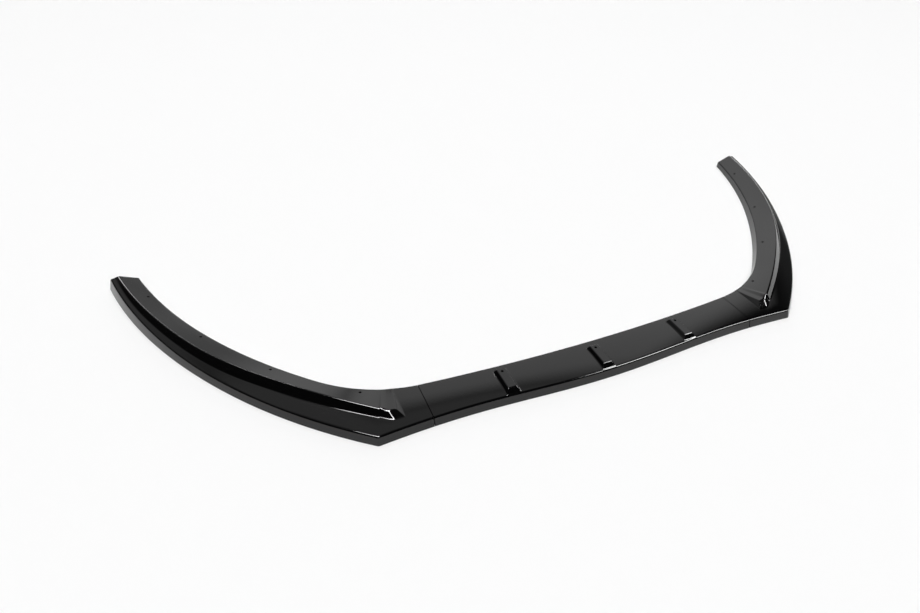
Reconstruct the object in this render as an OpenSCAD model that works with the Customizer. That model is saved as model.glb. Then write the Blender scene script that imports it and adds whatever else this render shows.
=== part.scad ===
// Front splitter lip for a car bumper: a centre section with three fins and two
// curved wings, all black plastic shells that are open below. A plate and four
// screws under each seam hold the three mouldings together.
// X runs across the car, Y from the front edge to the rear, and Z is up.

/* [Plan of the front] */
// Length of the centre section, from seam to seam
centre_len = 718; // [640:1:780]
// How far the front rim bows forward in the middle
bow = 13.5; // [4:0.5:30]
// Half the length over which the front rim bows
bow_half = 325; // [260:1:350]
// Distance from the middle to the outer corner
corner_x = 459; // [440:1:490]
// How far the outer corners stand forward of the seams
corner_forward = 5.6; // [2:0.1:12]
// Radius of the outer corner, seen from above
corner_r = 8; // [4:0.5:20]
// Depth of the centre section in the middle, from rim to rear edge
centre_depth = 83.5; // [70:0.5:110]
// How far the rear edge bends back between the middle and a seam
rear_sweep = 15.3; // [8:0.1:25]

/* [Plan of the wings] */
// Angle at which the outer rim leaves the corner
wing_angle = 37.2; // [30:0.5:44]
// Radius of the outer rim along the wing
wing_r = 1137; // [1000:1:1300]
// How far the wing tips stand behind the seams
tip_back = 632.7; // [560:1:700]
// Angle at which the inner edge leaves the seam
inner_start_angle = 6.5; // [4:0.1:9]
// Radius of the inner edge where the wing leaves the centre
inner_front_r = 303; // [270:1:330]
// Angle at which the inner edge opens to its large radius
inner_turn = 42.5; // [40:0.1:45]
// Radius of the inner edge along the wing
inner_side_r = 1060; // [1000:1:1100]

/* [Wing sections, five of them from corner to tip] */
// Distance from the rim to the ridge
ridge_in = [54, 42.5, 28, 22, 17]; // [12:0.5:60]
// Width of the step between the ledge and the ridge
step_w = [11.5, 13.5, 12.5, 11.5, 10]; // [6:0.5:20]
// Height of the rim
rim_z = [17.3, 17.3, 17.3, 21.6, 25]; // [14:0.1:30]
// How much higher the foot of the step is than the rim
ledge_rise = [1.4, 4, 4, 3, 1]; // [0:0.1:8]
// Height of the ridge
ridge_z = [30, 35, 36.5, 36, 29.8]; // [26:0.1:42]
// Height of the inner edge
inner_z = [16.8, 18.9, 18.6, 16.3, 14.4]; // [12:0.1:22]
// How far the foot of the inner wall stands out past the inner edge
inner_foot = [0, 3.5, 5, 3, 0]; // [0:0.5:6]

/* [Surfaces] */
// Wall of the mouldings
wall = 4; // [2.5:0.1:5]
// Lean of the outer wall
wall_lean = 18; // [5:0.5:25]
// Rounding along the rim
rim_round = 2.6; // [1:0.1:4]
// Rounding along the foot of the step and along the ridge
step_round = 2.8; // [1.5:0.1:5]
// Rounding along the inner edge
inner_round = 2.4; // [1:0.1:4]
// Height of the rear edge of the centre section
rear_z = 17.6; // [15:0.1:22]
// How much the top of the centre section is crowned
crown = 1.5; // [0:0.1:4]
// Share of the deck that the slope up to the ridge takes
bead_share = 0.24; // [0.15:0.01:0.4]
// Share of the deck's rise that lies in that slope
bead_rise = 0.3; // [0.24:0.01:0.6]

/* [Front end of the raised deck] */
// Where the foot of the ramp meets the front rim, from the middle
ramp_foot_x = 405.5; // [395:0.5:408]
// Where the ramp meets the front facet, measured along the front rim
facet_x = 410; // [409:0.5:416]
// Where the pocket's point lies, measured along the front rim
pocket_x = 424; // [418:0.5:430]
// Where the ridge ends, measured along the front rim
ridge_end_x = 438.5; // [434:0.5:448]
// Distance from the front rim to the lower edge of the front facet
facet_in = 23.5; // [20:0.5:28]
// Depth of the front facet where the ramp meets it
facet_len = 3.5; // [2:0.5:8]
// Height of the ramp there
facet_rise = 2; // [1:0.1:4]
// Distance from the front rim to the pocket's point
pocket_in = 21.5; // [18:0.1:30]
// Distance from the front rim to the front corner of the raised deck
deck_in = 40.5; // [34:0.5:46]
// Distance from the front rim to the foot of the step where the ridge ends
foot_end_in = 28.5; // [26:0.5:36]
// Distance from the front rim to the end of the ridge
ridge_end_in = 42.5; // [38:0.5:50]
// Height of the end of the ridge
ridge_end_z = 27.4; // [22:0.1:32]
// Lengths of the inner edge, from the ramp on, that belong to the sections of the
// front facet, the pocket's point, the end of the ridge, the corner and the wing
front_s = [3, 6, 12, 20, 26]; // [2:0.5:32]

/* [Fins] */
// Number of fins
fin_count = 3; // [1:2:5]
// Distance between neighbouring fins
fin_pitch = 201; // [120:1:240]
// Length of a fin's flat top
fin_len = 51; // [35:0.5:56]
// Width of a fin's flat top
fin_top_w = 17; // [13:0.5:30]
// How far each side of a fin spreads towards its foot
fin_flare = 6.5; // [3:0.5:12]
// Height of a fin's top above the ground
fin_z = 25.6; // [23:0.1:32]
// Distance from the rim back to the front of a fin's top
fin_setback = 12; // [8:0.5:20]
// How far a fin's front end spreads towards its foot
fin_front_flare = 9.5; // [6:0.5:12]
// How far a fin's rear end spreads towards its foot
fin_rear_flare = 3.5; // [1:0.5:8]
// Distance from a fin's hole to the rear end of its top
fin_hole_in = 7.6; // [6:0.1:14]

/* [Screw holes to the bumper] */
// Diameter of every screw hole to the bumper
hole_d = 5.5; // [4:0.1:7]
// Places of the four holes along a wing, as shares of its inner edge
hole_at = [0.137, 0.374, 0.615, 0.879]; // [0.03:0.001:0.97]
// Distance from a wing's hole to the inner edge
hole_in = 12.5; // [9:0.5:16]

/* [Joints under the seams] */
// Gap between two mouldings at a seam
seam_gap = 0.6; // [0.2:0.1:0.9]
// Length of a joint plate across the seam
plate_len = 58; // [50:1:64]
// Width of a joint plate
plate_w = 50; // [44:1:54]
// Thickness of a joint plate
plate_t = 2; // [1.5:0.1:3]
// Height of a joint plate's underside above the ground
plate_z = 4.4; // [3.6:0.1:5.4]
// Corner radius of a joint plate
plate_r = 6; // [2:0.5:10]
// Distance from the front rim to the middle of a joint plate
plate_in = 44; // [40:1:48]
// Distance between screws across the seam
screw_across = 36; // [30:1:42]
// Distance between screws along the seam
screw_along = 30; // [24:1:34]
// Diameter of a screw boss
boss_d = 9.5; // [8:0.1:12]
// Diameter of the pilot hole in a boss
pilot_d = 3.2; // [2.6:0.1:3.8]
// Depth of the pilot hole
pilot_depth = 7; // [6:0.1:8]
// Clearance of a screw in its pilot hole, all round
pilot_clear = 0.1; // [0.05:0.01:0.3]
// Clearance of a screw in the plate, all round
plate_clear = 0.6; // [0.3:0.1:1]
// Diameter of a screw's head
head_d = 7; // [6:0.1:8]
// Height of a screw's head
head_h = 2.4; // [1.8:0.1:2.8]
// Length of a screw under its head
screw_len = 8; // [7:0.1:9]

/* [Hidden] */

gloss_black = [0.06, 0.06, 0.065];
coated_steel = [0.2, 0.2, 0.22];
zinc = [0.7, 0.7, 0.68];

seam_x = centre_len / 2;
lean = tan(wall_lean);
centre_rim_z = rim_z[0];
// Slope of the front rim where the corner starts
corner_slope = -atan(2 * corner_forward / (corner_x - bow_half));

// Stations of the lofts
centre_stations = 22;
corner_stations = 3;
wing_stations = 30;
// Steps of each rounding in a section
round_steps = 2;
// The sections on the inner edge lag a little behind those on the rim
inner_lag = 1.12;
// Largest share of a side that a rounding takes
round_share = 0.48;
// How much the ledge and the slope beside the ridge bulge, and where that slope does
bulge = 0.3;
bulge_at = 0.75;
// Where the inner face bends under the step, so that the wall keeps its thickness:
// back from the foot and down from the ridge
foot_back = 0.41 * wall;
ridge_down = 1.25 * wall;
// Holes are cut from this far below up to this far above the ground
cut_below = 1;
cut_above = 60;

// How far the whole lip is moved so that its middle is at Y = 0
front_y = -bow - lean * centre_rim_z;
mid_y = (front_y + tip_back) / 2;

function mix(a, b, t) = a + (b - a) * t;

// A smooth curve through evenly spaced values, at share u of its length
function spline(v, u) =
    let (n = len(v) - 1, i = min(floor(u * n), n - 1), f = u * n - i,
        b = v[i], c = v[i + 1],
        a = i > 0 ? v[i - 1] : 2 * b - c,
        d = i < n - 1 ? v[i + 2] : 2 * c - b)
    b + f / 2 * (c - a + f * (2 * a - 5 * b + 4 * c - d + f * (3 * (b - c) + d - a)));

// End of an arc that turns left from heading h0 to h1
function arc_end(start, r, h0, h1) =
    start + r * [sin(h1) - sin(h0), cos(h0) - cos(h1)];
// Heading of such an arc where it reaches the depth y
function heading_at(start, r, h0, y) = acos(cos(h0) - (y - start[1]) / r);

// Rim of the front, and rear edge of the centre section
function front_rim(x) =
    let (a = abs(x), past = (a - bow_half) / (corner_x - bow_half))
    [x, a < bow_half ? -bow * (1 + cos(180 * a / bow_half)) / 2
        : -corner_forward * past * past];
function rear_edge(x) = [x, centre_depth - bow + rear_sweep * pow(x / seam_x, 2)];

// Outer rim of the wing: the round corner, then one long arc to the tip
corner_start = front_rim(corner_x);
wing_start = arc_end(corner_start, corner_r, corner_slope, wing_angle);
wing_tip_angle = heading_at(wing_start, wing_r, wing_angle, tip_back);
function corner_rim(t) =
    arc_end(corner_start, corner_r, corner_slope, mix(corner_slope, wing_angle, t));
function wing_rim(u) =
    arc_end(wing_start, wing_r, wing_angle, mix(wing_angle, wing_tip_angle, u));

// Inner edge of the wing: a tight arc from the seam, then a long one to the tip
inner_start = rear_edge(seam_x);
inner_join = arc_end(inner_start, inner_front_r, inner_start_angle, inner_turn);
inner_tip_angle = heading_at(inner_join, inner_side_r, inner_turn, tip_back);
inner_front_len = inner_front_r * (inner_turn - inner_start_angle) * PI / 180;
inner_side_len = inner_side_r * (inner_tip_angle - inner_turn) * PI / 180;
inner_len = inner_front_len + inner_side_len;
function inner_heading(s) = s < inner_front_len
    ? inner_start_angle + s / inner_front_r * 180 / PI
    : inner_turn + (s - inner_front_len) / inner_side_r * 180 / PI;
function inner_edge(s) = s < inner_front_len
    ? arc_end(inner_start, inner_front_r, inner_start_angle, inner_heading(s))
    : arc_end(inner_join, inner_side_r, inner_turn, inner_heading(s));

// Lengths of the inner edge at which the sections of the front end stand
ramp_s = ramp_foot_x - seam_x;
corner_s = ramp_s + front_s[3];
wing_s = ramp_s + front_s[4];

// One section of the loft, from the rim at p to the inner edge at q.
// It holds the places and heights of the step's foot and of the ridge, whether
// there is a raised deck, and how far the foot of the inner wall stands out.
function section(p, q, zr, foot_d, foot_z, top_d, top_z, zi, deck, out = 0) =
    [p, q, zr, foot_d, foot_z, top_d, top_z, zi, deck, out];

// Height of the plain top surface at share s between rim and rear edge
function plain_z(s) = mix(centre_rim_z, rear_z, s) + 4 * crown * s * (1 - s);

// A plain section, with no step and no raised deck
function plain_section(p, q) =
    let (l = norm(q - p), a = pocket_in / l, b = ridge_end_in / l)
    section(p, q, centre_rim_z, pocket_in, plain_z(a), ridge_end_in, plain_z(b), rear_z, 0);

// A section with a raised deck, at share u of the wing
function wing_section(p, q, u) =
    let (zr = spline(rim_z, u), top_d = spline(ridge_in, u),
        foot_d = top_d - spline(step_w, u))
    section(p, q, zr, foot_d, zr + spline(ledge_rise, u), top_d,
        spline(ridge_z, u), spline(inner_z, u), 1, spline(inner_foot, u));

// The sections through the facet's end, the pocket's point and the ridge's end
function front_point(i) = inner_edge(ramp_s + front_s[i]);
function facet_section(p, q) =
    let (z = plain_z(facet_in / norm(q - p)))
    section(p, q, centre_rim_z, facet_in, z, facet_in + facet_len, z + facet_rise,
        rear_z, 1);
function pocket_section(p, q) =
    section(p, q, centre_rim_z, pocket_in, plain_z(pocket_in / norm(q - p)), deck_in,
        ridge_end_z, rear_z, 1);
function ridge_end_section(p, q) =
    section(p, q, centre_rim_z, foot_end_in, centre_rim_z + ledge_rise[0],
        ridge_end_in, ridge_end_z, mix(rear_z, inner_z[0], 0.5), 1);
function mix_sections(a, b, t) = [for (i = [0:len(a) - 1]) mix(a[i], b[i], t)];

// Sections of the right wing, from the seam to the tip
function wing_sections() =
    let (x0 = seam_x + seam_gap / 2,
        ridge_end = ridge_end_section(front_rim(ridge_end_x), front_point(2)),
        corner = wing_section(corner_start, front_point(3), 0))
    concat(
        [for (t = [0:0.25:1]) let (x = mix(x0, ramp_foot_x, t))
            plain_section(front_rim(x), t == 0 ? [x, inner_edge(x0 - seam_x)[1]]
                : inner_edge(x - seam_x))],
        [facet_section(front_rim(facet_x), front_point(0)),
            pocket_section(front_rim(pocket_x), front_point(1)), ridge_end,
            mix_sections(ridge_end, corner, 0.5)],
        [for (i = [0:corner_stations - 1]) let (t = i / corner_stations)
            wing_section(corner_rim(t), inner_edge(mix(corner_s, wing_s, t)), 0)],
        [for (i = [0:wing_stations]) let (u = i / wing_stations)
            wing_section(wing_rim(u),
                inner_edge(mix(wing_s, inner_len, pow(u, inner_lag))), u)]);

// Sections of the centre, from the left seam to the right one
function centre_sections() =
    let (x1 = seam_x - seam_gap / 2)
    [for (i = [0:centre_stations]) let (x = x1 * (2 * i / centre_stations - 1))
        plain_section(front_rim(x), rear_edge(x))];

// Points that round the corner b between a and c, r away from it
function round_corner(a, b, c, r) =
    let (p = b + (a - b) * min(r / norm(a - b), round_share),
        q = b + (c - b) * min(r / norm(c - b), round_share))
    [for (i = [0:round_steps]) let (t = i / round_steps)
        mix(mix(p, b, t), mix(b, q, t), t)];

// The outer face of a section as points [distance from the rim, height]
function outer_face(s) =
    let (l = norm(s[1] - s[0]), zr = s[2], zi = s[7], raised = s[8],
        rim = [0, zr], foot = [s[3], s[4]], top = [s[5], s[6]],
        edge = [l, zi], wall_foot = [l + s[9], 0],
        bead_d = mix(top[0], l, bead_share), mid_d = mix(top[0], l, 0.5),
        // The deck falls beside the ridge, then runs down to the inner edge
        bead = [bead_d, mix(plain_z(bead_d / l), mix(top[1], zi, bead_rise), raised)],
        deck = mix([mid_d, plain_z(mid_d / l)], mix(bead, edge, 0.5), raised),
        ledge = mix(rim, foot, 0.5) + [0, raised > 0 ? bulge : crown / 4])
    concat([[-lean * zr, 0]],
        round_corner([-lean * zr, 0], rim, ledge, rim_round),
        [ledge],
        round_corner(ledge, foot, top, step_round),
        round_corner(foot, top, bead, step_round),
        [mix(top, bead, bulge_at) + [0, raised * bulge], bead, deck],
        round_corner(deck, edge, wall_foot, inner_round),
        [wall_foot]);

// The inner face of a section, one wall thickness away, from the rear to the front
function inner_face(s) =
    let (l = norm(s[1] - s[0]), zr = s[2], zi = s[7], raised = s[8], out = s[9],
        side = wall / cos(wall_lean), bead_d = mix(s[5], l, bead_share))
    [[l + out - wall, 0],
        [l + out * wall / zi - wall, zi - wall],
        [bead_d, mix(plain_z(bead_d / l), mix(s[6], zi, bead_rise), raised) - wall],
        [s[5], s[6] - mix(wall, ridge_down, raised)],
        [s[3] + foot_back * raised, s[4] - wall],
        [side - lean * wall, zr - wall],
        [side - lean * zr, 0]];

// For each point of the outer face, the point of the inner face opposite it
end_partners = concat([6], [for (i = [0:round_steps + 1]) 5],
    [for (i = [0:round_steps]) 4], [for (i = [0:round_steps + 1]) 3], [2, 2],
    [for (i = [0:round_steps]) 1], [0]);

function section_points(s) =
    let (dir = (s[1] - s[0]) / norm(s[1] - s[0]))
    [for (v = concat(outer_face(s), inner_face(s)))
        [s[0][0] + dir[0] * v[0], s[0][1] + dir[1] * v[0], v[1]]];

// Shell through a row of sections, closed at both ends
module loft(sections) {
    rings = [for (s = sections) section_points(s)];
    n = len(rings[0]);
    last = (len(rings) - 1) * n;
    sides = [for (k = [0:len(rings) - 2], j = [0:n - 1])
        let (a = k * n + j, b = k * n + (j + 1) % n)
        each [[a, b, b + n], [a, b + n, a + n]]];
    // The ends are strips of triangles between the outer and the inner face
    outer = len(end_partners);
    ends = [for (j = [0:outer - 2]) let (a = outer + end_partners[j],
            b = outer + end_partners[j + 1])
        each a == b ? [[j + 1, j, a]] : [[j + 1, j, b], [b, j, a]]];
    polyhedron(points = [for (r = rings) each r],
        faces = concat(sides, ends,
            [for (t = ends) [last + t[2], last + t[1], last + t[0]]]));
}

// Moves the whole lip so that its origin is under the middle of its box
module centred() translate([0, -mid_y, 0]) children();

// Where the fins stand
fin_xs = [for (i = [0:fin_count - 1]) (i - (fin_count - 1) / 2) * fin_pitch];
// How deep a fin reaches into the top, and how its hollow lies in it
fin_embed = 2;
fin_hollow_inset = wall * 0.75;
fin_hollow_z = centre_rim_z - wall * 1.5;
function fin_front(x) = front_rim(x)[1] + fin_setback;
fin_h = fin_z - centre_rim_z;

// A body with a flat top and spreading sides, from z0 up to z1
module fin_body(x, inset, z0, z1) {
    spread = (fin_z - z0) / fin_h;
    y0 = fin_front(x);
    half = fin_top_w / 2 - inset;
    corners = function (s, z) [
        [x - half - fin_flare * s, y0 + inset - fin_front_flare * s, z],
        [x + half + fin_flare * s, y0 + inset - fin_front_flare * s, z],
        [x + half + fin_flare * s, y0 + fin_len - inset + fin_rear_flare * s, z],
        [x - half - fin_flare * s, y0 + fin_len - inset + fin_rear_flare * s, z]];
    polyhedron(points = concat(corners(spread, z0), corners((fin_z - z1) / fin_h, z1)),
        faces = [[0, 1, 2, 3], [7, 6, 5, 4], [0, 4, 5, 1], [1, 5, 6, 2],
            [2, 6, 7, 3], [3, 7, 4, 0]]);
}

// Screw places round one seam, on the side that s names: -1 left, 1 right of it
function plate_y() = front_rim(seam_x)[1] + plate_in;
function screw_places(s) = [for (t = [-1, 1])
    [seam_x + s * screw_across / 2, plate_y() + t * screw_along / 2]];
boss_z = plate_z + plate_t;

module bosses(places) {
    for (p = places) translate([p[0], p[1], boss_z])
        cylinder(d = boss_d, h = centre_rim_z - wall / 2 - boss_z, $fn = 40);
}

module pilot_holes(places) {
    for (p = places) translate([p[0], p[1], boss_z - cut_below])
        cylinder(d = pilot_d, h = pilot_depth + cut_below, $fn = 32);
}

// The four screw holes along the right wing
module wing_holes() {
    for (share = hole_at) {
        s = share * inner_len;
        h = inner_heading(s);
        p = inner_edge(s) + hole_in * [sin(h), -cos(h)];
        translate([p[0], p[1], -cut_below])
            cylinder(d = hole_d, h = cut_below + cut_above, $fn = 40);
    }
}

module right_wing() {
    color(gloss_black) centred() difference() {
        union() {
            loft(wing_sections());
            bosses(screw_places(1));
        }
        wing_holes();
        pilot_holes(screw_places(1));
    }
}

module left_wing() mirror([1, 0, 0]) right_wing();

module centre_section() {
    places = [for (side = [-1, 1], p = screw_places(-1)) [side * p[0], p[1]]];
    color(gloss_black) centred() difference() {
        union() {
            loft(centre_sections());
            for (x = fin_xs) fin_body(x, 0, centre_rim_z - fin_embed, fin_z);
            bosses(places);
        }
        for (x = fin_xs) {
            fin_body(x, fin_hollow_inset, fin_hollow_z, fin_z - wall);
            translate([x, fin_front(x) + fin_len - fin_hole_in, -cut_below])
                cylinder(d = hole_d, h = cut_below + cut_above, $fn = 40);
        }
        pilot_holes(places);
    }
}

// Plate with rounded corners and four holes, across the right seam
module right_joint_plate() {
    places = concat(screw_places(-1), screw_places(1));
    color(coated_steel) centred() difference() {
        translate([seam_x, plate_y(), plate_z]) linear_extrude(plate_t)
            union() {
                square([plate_len - 2 * plate_r, plate_w], center = true);
                square([plate_len, plate_w - 2 * plate_r], center = true);
                for (sx = [-1, 1], sy = [-1, 1])
                    translate([sx * (plate_len / 2 - plate_r), sy * (plate_w / 2 - plate_r)])
                        circle(r = plate_r, $fn = 48);
            }
        for (p = places) translate([p[0], p[1], plate_z - cut_below])
            cylinder(d = pilot_d + 2 * plate_clear, h = plate_t + 2 * cut_below, $fn = 32);
    }
}

module left_joint_plate() mirror([1, 0, 0]) right_joint_plate();

// Form of a pan head: shares of its diameter and of its height, and its cross recess
pan = [[0.3, 1], [0.45, 0.7], [0.5, 0.25], [0.5, 0]];
cross_len = head_d * 0.56;
cross_w = head_d * 0.12;
cross_depth = head_h * 0.5;

// Pan-head screw, head down, with its seat at Z = 0
module screw() {
    shank_r = pilot_d / 2 - pilot_clear;
    difference() {
        rotate_extrude($fn = 40) polygon(concat([[0, -head_h]],
            [for (v = pan) [v[0] * head_d, -v[1] * head_h]],
            [[shank_r, 0], [shank_r, screw_len - shank_r], [0, screw_len]]));
        for (a = [0, 90]) rotate([0, 0, a])
            translate([-cross_len / 2, -cross_w / 2, -head_h - cut_below])
                cube([cross_len, cross_w, cross_depth + cut_below]);
    }
}

module right_joint_screws() {
    color(zinc) centred() for (p = concat(screw_places(-1), screw_places(1)))
        translate([p[0], p[1], plate_z]) screw();
}

module left_joint_screws() mirror([1, 0, 0]) right_joint_screws();

left_wing();
centre_section();
right_wing();
left_joint_plate();
right_joint_plate();
left_joint_screws();
right_joint_screws();
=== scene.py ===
"""Looks of a gloss black front splitter lip on a plain white floor.

The three mouldings are drawn again from the part's own curves, finer and with
rounded creases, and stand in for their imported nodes. The joint plates and the
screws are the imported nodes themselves. Sizes are in millimetres, unless a
docstring says otherwise.
"""

import logging
import math
from dataclasses import dataclass, field
from enum import Enum
from typing import Sequence

import bpy
import bmesh
import numpy as np
from mathutils import Matrix, Vector

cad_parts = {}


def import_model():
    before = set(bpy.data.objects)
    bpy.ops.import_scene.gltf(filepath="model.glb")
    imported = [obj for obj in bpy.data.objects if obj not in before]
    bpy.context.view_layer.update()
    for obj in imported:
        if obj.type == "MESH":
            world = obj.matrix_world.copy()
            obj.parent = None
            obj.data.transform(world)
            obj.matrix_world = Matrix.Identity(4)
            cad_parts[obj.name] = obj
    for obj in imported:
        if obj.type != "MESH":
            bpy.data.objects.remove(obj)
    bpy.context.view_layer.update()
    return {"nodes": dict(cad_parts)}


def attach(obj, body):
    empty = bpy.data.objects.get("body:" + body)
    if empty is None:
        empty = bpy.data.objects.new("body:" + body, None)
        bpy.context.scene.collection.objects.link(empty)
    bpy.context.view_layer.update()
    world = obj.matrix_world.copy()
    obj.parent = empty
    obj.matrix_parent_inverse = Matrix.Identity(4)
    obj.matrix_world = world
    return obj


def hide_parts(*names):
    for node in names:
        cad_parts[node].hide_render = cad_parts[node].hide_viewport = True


Socket = bpy.types.NodeSocket
Pair = tuple[float, float]

LOG = logging.getLogger("splitter_lip")
MM = 0.001
BODY = "root"


class Side(Enum):
    """Which end of the lip a piece belongs to, as the sign of its X."""

    LEFT = -1
    RIGHT = 1


def mix(a: np.ndarray, b: np.ndarray, t: np.ndarray) -> np.ndarray:
    """Straight blend from a at t = 0 to b at t = 1."""
    return a + (b - a) * t


def smooth_step(low: float, high: float, v: np.ndarray) -> np.ndarray:
    """Rises smoothly from 0 at low to 1 at high."""
    t = np.clip((v - low) / (high - low), 0, 1)
    return t * t * (3 - 2 * t)


def soft_min(a: np.ndarray, b: np.ndarray, k: np.ndarray) -> np.ndarray:
    """The lower of two heights, with the edge between them rounded.

    Args:
        a: First heights, in millimetres.
        b: Second heights.
        k: How far apart the heights are where the rounding starts.

    Returns:
        The rounded lower heights.
    """
    h = np.clip(0.5 + 0.5 * (b - a) / k, 0, 1)
    return mix(b, a, h) - k * h * (1 - h)


def soft_max(a: np.ndarray, b: np.ndarray, k: np.ndarray) -> np.ndarray:
    """The higher of two heights, with the corner between them filled."""
    return -soft_min(-a, -b, k)


def spline(values: Sequence[float], u: np.ndarray) -> np.ndarray:
    """Smooth curve through evenly spaced values.

    Args:
        values: The values that the curve passes through.
        u: Places along the curve, from 0 to 1.

    Returns:
        The curve's value at each place.
    """
    v = np.concatenate([[2 * values[0] - values[1]], values, [2 * values[-1] - values[-2]]])
    n = len(values) - 1
    i = np.minimum(np.floor(u * n).astype(int), n - 1)
    f = u * n - i
    a, b, c, d = v[i], v[i + 1], v[i + 2], v[i + 3]
    return b + f / 2 * (c - a + f * (2 * a - 5 * b + 4 * c - d + f * (3 * (b - c) + d - a)))


@dataclass(frozen=True)
class Plan:
    """Outline of the lip seen from above, with headings in degrees from +X.

    Depths run back from where the front rim's bow ends.

    Attributes:
        centre_len: Length of the centre section, from seam to seam.
        bow: How far the middle of the front rim stands forward.
        bow_half: Distance from the middle to where the bow ends.
        corner_x: X where the rounding of a front corner starts.
        corner_forward: How far the rim stands forward there.
        corner_r: Radius of that rounding.
        centre_depth: Depth of the centre section at its middle.
        rear_sweep: How much further back its rear edge lies at a seam.
        wing_angle: Heading of the rim behind the corner.
        wing_r: Radius of the wing's rim.
        tip_back: Depth at which the wings are cut off.
        inner_start_angle: Heading of the inner edge at a seam.
        inner_front_r: Radius of the inner edge's tight arc.
        inner_turn: Heading where the tight arc ends.
        inner_side_r: Radius of the inner edge's long arc.
        rim_z: Height of the front rim.
        wall_lean: Lean of the outer wall, in degrees from upright.
        seam_gap: Gap between two mouldings.
    """

    centre_len: float = 718.0
    bow: float = 13.5
    bow_half: float = 325.0
    corner_x: float = 459.0
    corner_forward: float = 5.6
    corner_r: float = 8.0
    centre_depth: float = 83.5
    rear_sweep: float = 15.3
    wing_angle: float = 37.2
    wing_r: float = 1137.0
    tip_back: float = 632.7
    inner_start_angle: float = 6.5
    inner_front_r: float = 303.0
    inner_turn: float = 42.5
    inner_side_r: float = 1060.0
    rim_z: float = 17.3
    wall_lean: float = 18.0
    seam_gap: float = 0.6

    @property
    def seam_x(self) -> float:
        """Distance from the middle to a seam."""
        return self.centre_len / 2

    @property
    def lean(self) -> float:
        """How far the outer wall leans for each millimetre of height."""
        return math.tan(math.radians(self.wall_lean))

    @property
    def mid_y(self) -> float:
        """Depth of the middle of the lip's box, which is the frame's Y = 0."""
        return (-self.bow - self.lean * self.rim_z + self.tip_back) / 2

    @property
    def corner_slope(self) -> float:
        """Slope of the front rim where the corner starts, in degrees."""
        rise = 2 * self.corner_forward / (self.corner_x - self.bow_half)
        return -math.degrees(math.atan(rise))

    def front_rim(self, x: np.ndarray) -> np.ndarray:
        """Runs along the front rim: a wave in the middle, then a bend to the corner.

        Args:
            x: Distances from the middle.

        Returns:
            The rim's points there.
        """
        a = np.abs(x)
        past = (a - self.bow_half) / (self.corner_x - self.bow_half)
        bowed = -self.bow * (1 + np.cos(np.pi * a / self.bow_half)) / 2
        y = np.where(a < self.bow_half, bowed, -self.corner_forward * past**2)
        return np.stack([x, y], -1)

    def rear_edge(self, x: np.ndarray) -> np.ndarray:
        """Points of the centre section's rear edge at the distances x."""
        y = self.centre_depth - self.bow + self.rear_sweep * (x / self.seam_x) ** 2
        return np.stack([x, y], -1)

    @staticmethod
    def arc_end(start: np.ndarray, r: float, h0: float, h1: np.ndarray) -> np.ndarray:
        """Where an arc that turns left has come to.

        Args:
            start: The arc's first point.
            r: The arc's radius.
            h0: Heading at the start, in degrees.
            h1: Headings to find, in degrees.

        Returns:
            The points at those headings.
        """
        a, b = np.radians(h0), np.radians(h1)
        return start + r * np.stack([np.sin(b) - np.sin(a), np.cos(a) - np.cos(b)], -1)

    @staticmethod
    def heading_at(start: np.ndarray, r: float, h0: float, y: float) -> float:
        """Heading of such an arc where it reaches the depth y, in degrees."""
        return math.degrees(math.acos(math.cos(math.radians(h0)) - (y - start[1]) / r))

    @property
    def corner_start(self) -> np.ndarray:
        """Point of the front rim where the corner's rounding starts."""
        return self.front_rim(np.array(self.corner_x))

    @property
    def wing_start(self) -> np.ndarray:
        """Point of the rim where the wing's long arc starts."""
        return self.arc_end(self.corner_start, self.corner_r, self.corner_slope, self.wing_angle)

    def corner_rim(self, t: np.ndarray) -> np.ndarray:
        """Points round the corner, at shares t of its turn."""
        turn = mix(self.corner_slope, self.wing_angle, t)
        return self.arc_end(self.corner_start, self.corner_r, self.corner_slope, turn)

    def wing_rim(self, u: np.ndarray) -> np.ndarray:
        """Points along the wing's rim, at shares u of its turn."""
        start, r, h0 = self.wing_start, self.wing_r, self.wing_angle
        return self.arc_end(start, r, h0, mix(h0, self.heading_at(start, r, h0, self.tip_back), u))

    @property
    def inner_start(self) -> np.ndarray:
        """Point of the rear edge at the seam."""
        return self.rear_edge(np.array(self.seam_x))

    @property
    def inner_join(self) -> np.ndarray:
        """Point where the inner edge's tight arc meets the long one."""
        start, h0 = self.inner_start, self.inner_start_angle
        return self.arc_end(start, self.inner_front_r, h0, self.inner_turn)

    @property
    def inner_front_len(self) -> float:
        """Length of the inner edge's tight arc."""
        return self.inner_front_r * math.radians(self.inner_turn - self.inner_start_angle)

    @property
    def inner_len(self) -> float:
        """Length of the whole inner edge of a wing."""
        last = self.heading_at(self.inner_join, self.inner_side_r, self.inner_turn, self.tip_back)
        return self.inner_front_len + self.inner_side_r * math.radians(last - self.inner_turn)

    def inner_heading(self, s: np.ndarray) -> np.ndarray:
        """Turns with the inner edge: a tight arc, then a long one.

        Args:
            s: Lengths along the edge from the seam.

        Returns:
            The edge's headings there, in degrees.
        """
        front = self.inner_start_angle + np.degrees(s / self.inner_front_r)
        side = self.inner_turn + np.degrees((s - self.inner_front_len) / self.inner_side_r)
        return np.where(s < self.inner_front_len, front, side)

    def inner_edge(self, s: np.ndarray) -> np.ndarray:
        """Runs along the inner edge.

        Args:
            s: Lengths along the edge from the seam.

        Returns:
            The edge's points there.
        """
        h = self.inner_heading(s)
        front = self.arc_end(self.inner_start, self.inner_front_r, self.inner_start_angle, h)
        side = self.arc_end(self.inner_join, self.inner_side_r, self.inner_turn, h)
        return np.where((s < self.inner_front_len)[..., None], front, side)


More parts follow.
